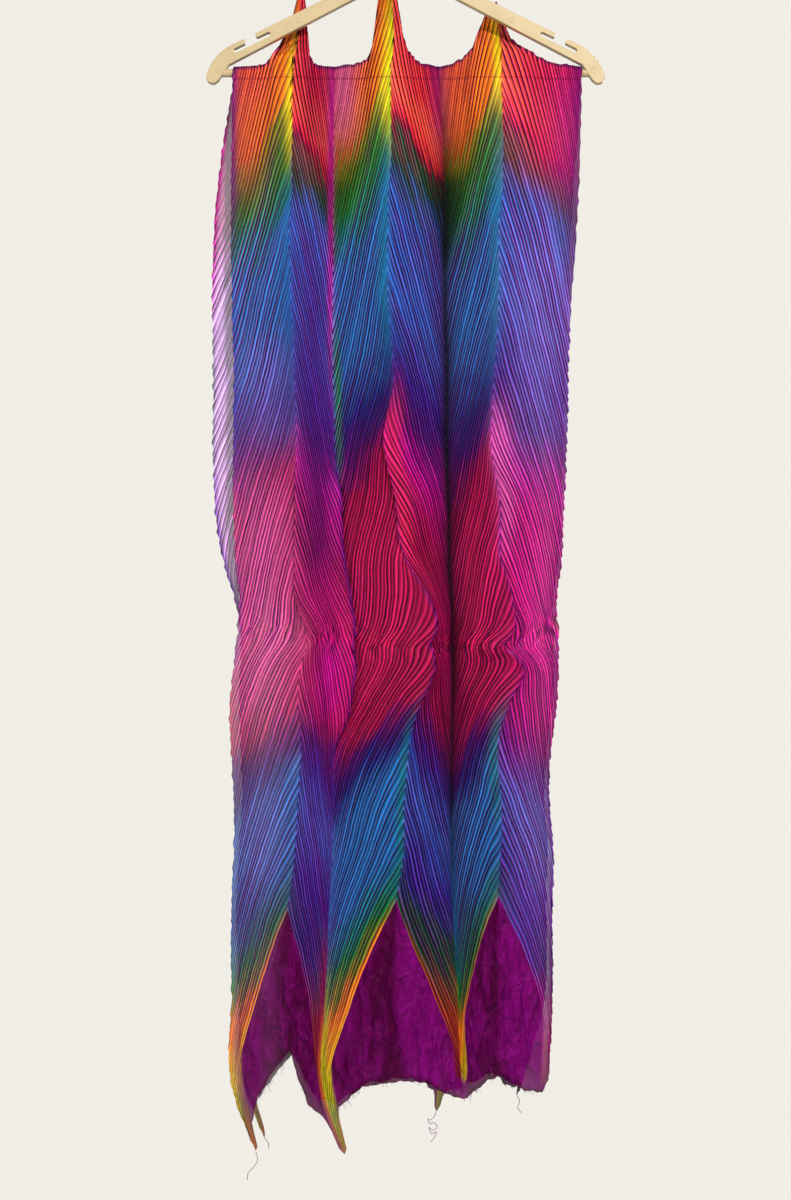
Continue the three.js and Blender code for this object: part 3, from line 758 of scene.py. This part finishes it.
def add(tree, kind, inputs=(), **settings):
    node = tree.nodes.new(kind)
    for key, value in settings.items():
        setattr(node, key, value)
    for key, value in dict(inputs).items():
        if isinstance(value, bpy.types.NodeSocket):
            tree.links.new(value, node.inputs[key])
        else:
            node.inputs[key].default_value = value
    return node


def fact(tree, name):
    return add(tree, "ShaderNodeAttribute", attribute_name=name).outputs


def sums(tree, operation, first, second):
    return add(tree, "ShaderNodeMath", {0: first, 1: second}, operation=operation).outputs[0]


def mixed(tree, share, first, second, way="MIX"):
    node = add(tree, "ShaderNodeMix", data_type="RGBA", blend_type=way)
    for socket, value in ((node.inputs[0], share), (node.inputs[6], first), (node.inputs[7], second)):
        if isinstance(value, bpy.types.NodeSocket):
            tree.links.new(value, socket)
        else:
            socket.default_value = value
    return node.outputs[2]


def ramp(tree, place, stops):
    node = add(tree, "ShaderNodeValToRGB", {0: place})
    elements = node.color_ramp.elements
    for element, (at, colour) in zip(elements, (stops[0], stops[-1])):
        element.position = at
        element.color = colour
    for at, colour in stops[1:-1]:
        elements.new(at).color = colour
    return node.outputs[0]


def grey(tone):
    return (tone, tone, tone, 1.0)


print("a half grey is", grey(0.5))

# %% [markdown]
# The place along the bands is shaken a little, by soft clouds and by a step of its own for each pleat, so that no
# edge between two dyes runs straight.

# %% Dye baths
BAND_FROM, BAND_TO = -60, 1170


def bath(tree, place, bands):
    return ramp(tree, place, [((at - BAND_FROM) / (BAND_TO - BAND_FROM), dye(name)) for at, name in bands])


silk, tree, shader = new_finish("dyed_silk")
where = add(tree, "ShaderNodeTexCoord").outputs["Object"]
pleat = fact(tree, "pleat")["Fac"]
inner = fact(tree, "inner")["Fac"]
bare = fact(tree, "plain")["Fac"]
stain_and_shade_colour = fact(tree, "stain_and_shade")
cloudy = add(tree, "ShaderNodeTexNoise", {"Vector": where, "Scale": 28.0, "Detail": 3.0}).outputs["Fac"]
which = sums(tree, "FLOOR", pleat, 0.0)
own = add(tree, "ShaderNodeTexWhiteNoise", {"W": which}, noise_dimensions="1D").outputs["Value"]
drift = sums(tree, "ADD", sums(tree, "MULTIPLY", cloudy, 36.0), sums(tree, "MULTIPLY", own, 24.0))
place = sums(tree, "ADD", fact(tree, "band")["Fac"], sums(tree, "SUBTRACT", drift, 30.0))
place = add(
    tree, "ShaderNodeMapRange", {"Value": place, "From Min": float(BAND_FROM), "From Max": float(BAND_TO)}
).outputs[0]
colour = mixed(tree, inner, bath(tree, place, OUTER_BANDS), bath(tree, place, INNER_BANDS))
colour = mixed(tree, stain_and_shade_colour["Alpha"], colour, stain_and_shade_colour["Color"])
print("bands reach from", BAND_FROM, "to", BAND_TO, "mm")

# %% [markdown]
# A line runs in the groove of every pleat. A noise that is read by the pleat's number and by the place along it lets
# each line swell and fade by itself.

# %% Lines along the pleats
turn = sums(tree, "FRACT", pleat, 0.0)
white, black, half = grey(1.0), grey(0.0), grey(0.5)
pleated = sums(tree, "SUBTRACT", 1.0, bare)
lines = ramp(
    tree, turn, [(0.0, half), (0.08, white), (0.2, white), (0.3, black), (0.94, black), (1.0, half)]
)
spot = add(tree, "ShaderNodeSeparateXYZ", {0: where}).outputs
number = sums(tree, "MULTIPLY", which, 7.3)
along = sums(tree, "MULTIPLY", spot["X"], 32.0)
track = add(tree, "ShaderNodeCombineXYZ", {0: number, 1: along}).outputs[0]
streak = add(
    tree, "ShaderNodeTexNoise", {"Vector": track, "Scale": 1.0, "Detail": 2.0}, noise_dimensions="2D"
).outputs["Fac"]
# strength of the groove lines and of the painted groove shade and crest highlight below, varying along each pleat
line_and_shade_strength = add(
    tree, "ShaderNodeMapRange", {"Value": streak, "From Min": 0.3, "From Max": 0.62, "To Min": 0.5}
).outputs[0]
line_and_shade_strength = sums(tree, "MULTIPLY", sums(tree, "MULTIPLY", line_and_shade_strength, fact(tree, "crisp")["Fac"]), pleated)
lines = sums(tree, "MULTIPLY", sums(tree, "MULTIPLY", lines, 0.85), line_and_shade_strength)
ground = mixed(tree, inner, bath(tree, place, OUTER_GROUND), bath(tree, place, INNER_GROUND))
cover_now = fact(tree, "cover")["Fac"]
lost = sums(tree, "SUBTRACT", 1.0, cover_now)
ground = mixed(tree, sums(tree, "MULTIPLY", stain_and_shade_colour["Alpha"], 0.5), ground, stain_and_shade_colour["Color"])
ground = mixed(tree, sums(tree, "MULTIPLY", lost, 1.6), ground, dye("magenta"))
ground = mixed(tree, fact(tree, "veined")["Fac"], ground, dye("grape"))
colour = mixed(tree, lines, colour, ground)
print("ground dyes:", len(OUTER_GROUND), "outer and", len(INNER_GROUND), "inner")

# %% [markdown]
# Every pleat has a tone of its own that differs at random. On top of the real relief, painted shade darkens the
# groove of each pleat and a painted highlight brightens its crest. On the inner faces a painted highlight line,
# tinted by a ramp of its own, runs here and there along the crest.

# %% Random tone, painted groove shade and crest highlight of each pleat
toned = ramp(tree, own, [(0.0, grey(0.4)), (1.0, grey(0.62))])
toned = mixed(tree, 1.0, toned, grey(2.0), "MULTIPLY")
colour = mixed(tree, pleated, colour, mixed(tree, 1.0, colour, toned, "MULTIPLY"))
# painted shade in the groove and painted highlight on the crest of every pleat, multiplied into the colour
sides = ramp(
    tree,
    turn,
    [
        (0.0, grey(0.65)), (0.1, grey(0.3)), (0.2, grey(0.03)), (0.38, grey(0.03)), (0.48, grey(0.24)),
        (0.6, grey(0.3)), (0.8, grey(0.42)), (0.92, grey(1.0)), (1.0, grey(0.65)),
    ],
)
sides = mixed(tree, 1.0, sides, grey(3.1), "MULTIPLY")
colour = mixed(tree, line_and_shade_strength, colour, mixed(tree, 1.0, colour, sides, "MULTIPLY"))
# painted highlight: a thin bright line along the crest of inner pleats, broken into patches by the streak noise
crest_highlight = ramp(tree, turn, [(0.78, black), (0.88, white), (0.96, white), (1.0, black)])
caught = add(tree, "ShaderNodeMapRange", {"Value": streak, "From Min": 0.44, "From Max": 0.58}).outputs[0]
crest_highlight_lines = sums(tree, "MULTIPLY", crest_highlight, caught)
crest_highlight_lines = sums(tree, "MULTIPLY", crest_highlight_lines, sums(tree, "MULTIPLY", inner, line_and_shade_strength))
colour = mixed(tree, sums(tree, "MULTIPLY", crest_highlight_lines, 0.5), colour, bath(tree, place, INNER_HIGHLIGHT_TINTS))
print("hair lines in", len(INNER_HIGHLIGHT_TINTS), "steps")

# %% [markdown]
# The plain ends have no pleats, only the crumple of soft silk: a stretched, slanted noise that is used twice, for
# painted crinkle highlights and shade here and for relief below. A faint dark line is painted shade along the lower
# edge of the bar, where it shows through the cloth.

# %% Plain ends, speckle and painted bar shade
slant = add(
    tree, "ShaderNodeMapping", {"Vector": where, "Rotation": (0.0, 0.5, 0.0), "Scale": (90.0, 30.0, 34.0)}
).outputs[0]
crumple = add(
    tree, "ShaderNodeTexNoise", {"Vector": slant, "Scale": 1.0, "Detail": 4.0, "Distortion": 0.8}
).outputs["Fac"]
# painted crinkle highlights and shade: the crumple noise lightens and darkens the plain ends
crumple_light_and_shade = sums(tree, "MULTIPLY", sums(tree, "SUBTRACT", crumple, 0.5), 1.6)
light = sums(tree, "ADD", fact(tree, "end_light_and_shade")["Fac"], crumple_light_and_shade)
ends = ramp(tree, light, [(0.0, dye("aubergine")), (1.0, dye("mauve"))])
colour = mixed(tree, bare, colour, ends)
speckle = add(tree, "ShaderNodeTexNoise", {"Vector": where, "Scale": 160.0, "Detail": 2.0}).outputs["Fac"]
tone = ramp(tree, speckle, [(0.3, grey(0.86)), (0.7, grey(1.0))])
colour = mixed(tree, 1.0, colour, tone, "MULTIPLY")
BAR_EDGE_Z = -0.2006
BAR_SHADE_HALF = 0.0012
# painted shade: a thin claret line along the bar's lower edge, seen through the cloth
bar_shade_line = add(
    tree, "ShaderNodeMath", {0: spot["Z"], 1: BAR_EDGE_Z, 2: BAR_SHADE_HALF}, operation="COMPARE"
).outputs[0]
colour = mixed(tree, sums(tree, "MULTIPLY", bar_shade_line, 0.35), colour, dye("claret"))
tree.links.new(colour, shader.inputs["Base Color"])
print("bar line at", BAR_EDGE_Z, "m")

# %% [markdown]
# Where little cover is left, the lines stay dense, so the pleats show even on the sheerest strip. Bump nodes draw the
# pleats over the bar, where the mesh has none, and the crumple of the ends.

# %% Cover, relief and gloss
dense = sums(tree, "MULTIPLY", lost, sums(tree, "MULTIPLY", lines, 0.9))
tree.links.new(sums(tree, "ADD", cover_now, dense), shader.inputs["Alpha"])
wave = ramp(tree, turn, [(0.0, white), (0.33, black), (1.0, white)])
drawn = sums(tree, "MULTIPLY", sums(tree, "SUBTRACT", 1.0, fact(tree, "raised")["Fac"]), pleated)
folds_drawn = add(tree, "ShaderNodeBump", {"Height": wave, "Distance": 0.0019, "Strength": drawn}).outputs[0]
crumpled = add(
    tree, "ShaderNodeBump", {"Height": crumple, "Distance": 0.018, "Strength": bare, "Normal": folds_drawn}
).outputs[0]
tree.links.new(crumpled, shader.inputs["Normal"])
shader.inputs["Roughness"].default_value = 0.36
shader.inputs["Specular IOR Level"].default_value = 0.04
scarf_mesh.materials.append(silk)
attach(scarf, "root")
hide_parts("scarf")
area = sum(face.area for face in scarf_mesh.polygons)
print("silk area", round(area, 3), "square metres")

# %% [markdown]
# ## Hanger
# The hanger is one beige moulding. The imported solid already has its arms, notches and bar, so it is kept and only
# given a finish: satin plastic with a faint unevenness.

# %% Hanger finish
moulding, tree, shader = new_finish("beige_moulding")
where = add(tree, "ShaderNodeTexCoord").outputs["Object"]
haze = add(tree, "ShaderNodeTexNoise", {"Vector": where, "Scale": 40.0, "Detail": 2.0}).outputs["Fac"]
DEEP_BEIGE = (0.46, 0.36, 0.19, 1.0)
PALE_BEIGE = (0.52, 0.41, 0.22, 1.0)
beige = ramp(tree, haze, [(0.3, DEEP_BEIGE), (0.7, PALE_BEIGE)])
tree.links.new(beige, shader.inputs["Base Color"])
shader.inputs["Roughness"].default_value = 0.42
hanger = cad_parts["hanger"]
hanger.data.materials.clear()
hanger.data.materials.append(moulding)
hanger.data.shade_smooth()
hanger.data.set_sharp_from_angle(angle=math.radians(32))
print("hanger finish on", hanger.name)

# %% [markdown]
# ## Hook
# The hook is bent from one plated wire. A ring of points is swept along the middle of the wire: straight up out of
# the boss, over to one side, then round over the rail.

# %% Sweep a ring along a path
def sweep(bm, path, radii, sides):
    ring = bmesh.ops.create_circle(bm, cap_ends=True, segments=sides, radius=1.0)["verts"]
    unit = [v.co.copy() for v in ring]
    edges = [e for e in bm.edges if e.verts[0] in ring and e.verts[1] in ring]
    for k, (spot, radius) in enumerate(zip(path, radii)):
        ahead = path[min(k + 1, len(path) - 1)] - path[max(k - 1, 0)]
        turned = ahead.to_track_quat("Z", "Y").to_matrix()
        if k:
            made = bmesh.ops.extrude_edge_only(bm, edges=edges)["geom"]
            ring = [g for g in made if isinstance(g, bmesh.types.BMVert)]
            edges = [g for g in made if isinstance(g, bmesh.types.BMEdge)]
        for vertex, flat in zip(ring, unit):
            vertex.co = spot + turned @ (flat * radius)
    bmesh.ops.contextual_create(bm, geom=edges)


def piece(name, bm, finish):
    bmesh.ops.recalc_face_normals(bm, faces=bm.faces[:])
    mesh = bpy.data.meshes.new(name)
    bm.to_mesh(mesh)
    bm.free()
    mesh.materials.append(finish)
    mesh.shade_smooth()
    made = bpy.data.objects.new(name, mesh)
    bpy.context.collection.objects.link(made)
    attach(made, "root")
    print(name, "has", len(mesh.polygons), "faces")
    return made


# %% Hook wire
WIRE_RADIUS = 2.25
plated, tree, shader = new_finish("plated_wire")
shader.inputs["Base Color"].default_value = (0.62, 0.63, 0.65, 1.0)
shader.inputs["Metallic"].default_value = 1.0
shader.inputs["Roughness"].default_value = 0.18
path = [Vector((0, 0, -79)), Vector((0, 0, -70)), Vector((0, 0, -62.6))]
for step in range(1, 7):
    turn = math.radians(35 * step / 6)
    path.append(Vector((12 - 12 * math.cos(turn), 0, -62.6 + 12 * math.sin(turn))))
for step in range(41):
    turn = math.radians(-35 + 250 * step / 40)
    path.append(Vector((22.25 * math.cos(turn), 0, -20 + 22.25 * math.sin(turn))))
radii = [WIRE_RADIUS * MM] * len(path)
last = path[-1]
onward = (path[-1] - path[-2]).normalized()
for ahead, width in ((0.9, 0.92), (1.6, 0.7), (2.1, 0.35)):
    path.append(last + onward * ahead)
    radii.append(WIRE_RADIUS * width * MM)
bm = bmesh.new()
sweep(bm, [spot * MM for spot in path], radii, 20)
hook = piece("hook_wire", bm, plated)
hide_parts("hook")

# %% [markdown]
# ## Moulding marks
# Two round marks on each arm show where the pins pushed the hanger out of its mould. Each is a fine ring, spun from a
# small circle.

# %% Rings on the arms
MARKS = ((-202, -191), (-115, -137), (115, -137), (202, -191))
bm = bmesh.new()
for x, z in MARKS:
    centre = Vector((x, -5, z)) * MM
    profile = bmesh.ops.create_circle(bm, segments=8, radius=0.35 * MM)["verts"]
    bmesh.ops.translate(bm, verts=profile, vec=centre + Vector((2.6 * MM, 0, 0)))
    lips = [e for e in bm.edges if e.verts[0] in profile and e.verts[1] in profile]
    bmesh.ops.spin(bm, geom=profile + lips, cent=centre, axis=(0, 1, 0), angle=math.tau, steps=32, use_merge=True)
piece("moulding_marks", bm, moulding)

# %% [markdown]
# ## Raw hem
# The ends were torn, not sewn, so the weave lets go of short threads all along the hem and of a few long ones at the
# points. Strands this thin only need three sides. A seeded random generator keeps them the same in every run.

# %% Frayed threads
thread_silk, tree, shader = new_finish("silk_thread")
shader.inputs["Base Color"].default_value = dye("mauve")
shader.inputs["Roughness"].default_value = 0.5
STRANDS = 240
FRAYED = ((0.2, 0.95, 9), (2.12, 2.35, 7), (4.1, 4.45, 7))
chance = np.random.default_rng(7)
bm = bmesh.new()
for k in range(STRANDS):
    row, inside = ((0, 1), (-1, -2))[k % 2]
    if k % 3 == 0:
        start, stop, longest = FRAYED[k // 3 % len(FRAYED)]
    else:
        start, stop, longest = 0.1, 5.95, 4
    column = int(np.searchsorted(share, chance.uniform(start, stop)))
    root = points[row, column]
    away = points[row, column] - points[inside, column]
    away = away / max(np.linalg.norm(away), 1e-6) + chance.normal(0, 0.45, 3) * (1, 0.4, 0.6)
    length = longest * chance.uniform(0.4, 1.0)
    bend = chance.normal(0, 0.25, 3)
    spots = [root + away * length * t + bend * length * t * t for t in (0, 0.35, 0.7, 1)]
    sweep(bm, [Vector(spot) * MM for spot in spots], [0.16 * MM, 0.14 * MM, 0.12 * MM, 0.05 * MM], 3)
print(STRANDS, "short strands along both hems")

# %% Loose threads at the points
LOOSE = {
    (-1, 4.0): (
        (0, 0), (-2, -5), (-6, -9), (-9, -8), (-7, -13), (-2, -12), (1, -17), (-4, -20), (-8, -17),
        (-5, -24), (0, -22), (-2, -28), (-6, -33),
    ),
    (0, 0.0): ((0, 0), (2, -8), (-2, -16), (-8, -22), (-9, -30)),
    (-1, 6.0): ((0, 0), (3, -6), (1, -13), (5, -19)),
    (-1, 0.0): ((0, 0), (4, -5), (5, -12)),
}
for (row, at), steps in LOOSE.items():
    root = points[row, int(np.searchsorted(share, at))]
    ticks = np.arange(len(steps))
    fine = np.linspace(0, len(steps) - 1, 6 * len(steps))
    across_steps, down_steps = (smooth_curve(ticks, [step[k] for step in steps], fine) for k in (0, 1))
    spots = [Vector((root[0] + a, root[1], root[2] + d)) * MM for a, d in zip(across_steps, down_steps)]
    sweep(bm, spots, [0.34 * MM] * len(spots), 4)
threads = piece("frayed_threads", bm, thread_silk)

# %% [markdown]
# ## Light, floor and camera
# A plain pale studio: even light from all round, one warm lamp from the upper right, a weaker cool one from the left
# and a soft one behind. The camera stands level with the middle of the scarf.

# %% Studio
world = bpy.data.worlds.new("pale_studio")
world.use_nodes = True
tree = world.node_tree
soft_light = tree.nodes["Background"]
soft_light.inputs["Color"].default_value = (0.34, 0.34, 0.35, 1.0)
backdrop = add(tree, "ShaderNodeBackground", {"Color": (0.88, 0.85, 0.79, 1.0)})
seen = add(tree, "ShaderNodeLightPath").outputs["Is Camera Ray"]
both = add(tree, "ShaderNodeMixShader", {0: seen, 1: soft_light.outputs[0], 2: backdrop.outputs[0]})
tree.links.new(both.outputs[0], tree.nodes["World Output"].inputs["Surface"])
bpy.context.scene.world = world


def lamp(name, place, aim, power, size, colour):
    data = bpy.data.lights.new(name, "AREA")
    data.energy = power
    data.size = size
    data.color = colour
    made = bpy.data.objects.new(name, data)
    made.location = place
    made.rotation_mode = "QUATERNION"
    made.rotation_quaternion = (Vector(aim) - Vector(place)).to_track_quat("-Z", "Y")
    bpy.context.collection.objects.link(made)


lamp("warm_lamp", (1.0, -2.2, 0.9), (0, 0, -0.7), 78, 0.45, (1.0, 0.95, 0.89))
lamp("cool_lamp", (-2.0, -1.6, 0.3), (0, 0, -0.7), 30, 0.8, (0.9, 0.94, 1.0))
lamp("back_lamp", (0.9, 2.4, 0.5), (0, 0, -0.7), 50, 0.9, (1.0, 0.98, 0.95))
bm = bmesh.new()
bmesh.ops.create_circle(bm, cap_ends=True, segments=96, radius=2.0)
bmesh.ops.translate(bm, verts=bm.verts[:], vec=(0, 0, -1.95))
floor_mesh = bpy.data.meshes.new("floor")
bm.to_mesh(floor_mesh)
bm.free()
floor = bpy.data.objects.new("floor", floor_mesh)
pale, tree, shader = new_finish("pale_floor")
shader.inputs["Base Color"].default_value = (0.76, 0.75, 0.72, 1.0)
shader.inputs["Roughness"].default_value = 0.8
floor_mesh.materials.append(pale)
bpy.context.collection.objects.link(floor)
floor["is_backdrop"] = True

# %% Camera
FAR = 2.4
camera_data = bpy.data.cameras.new("camera")
camera_data.lens = 36 * FAR / 1.296
camera = bpy.data.objects.new("camera", camera_data)
camera.location = (-0.0108, -FAR, -0.762)
camera.rotation_euler = (math.radians(90), 0, 0)
bpy.context.collection.objects.link(camera)
bpy.context.scene.camera = camera
bpy.context.scene.view_settings.view_transform = "Standard"
bpy.context.scene.cycles.transparent_max_bounces = 24
print("camera lens", round(camera_data.lens, 1), "mm")

# %% Size and finish
low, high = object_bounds()
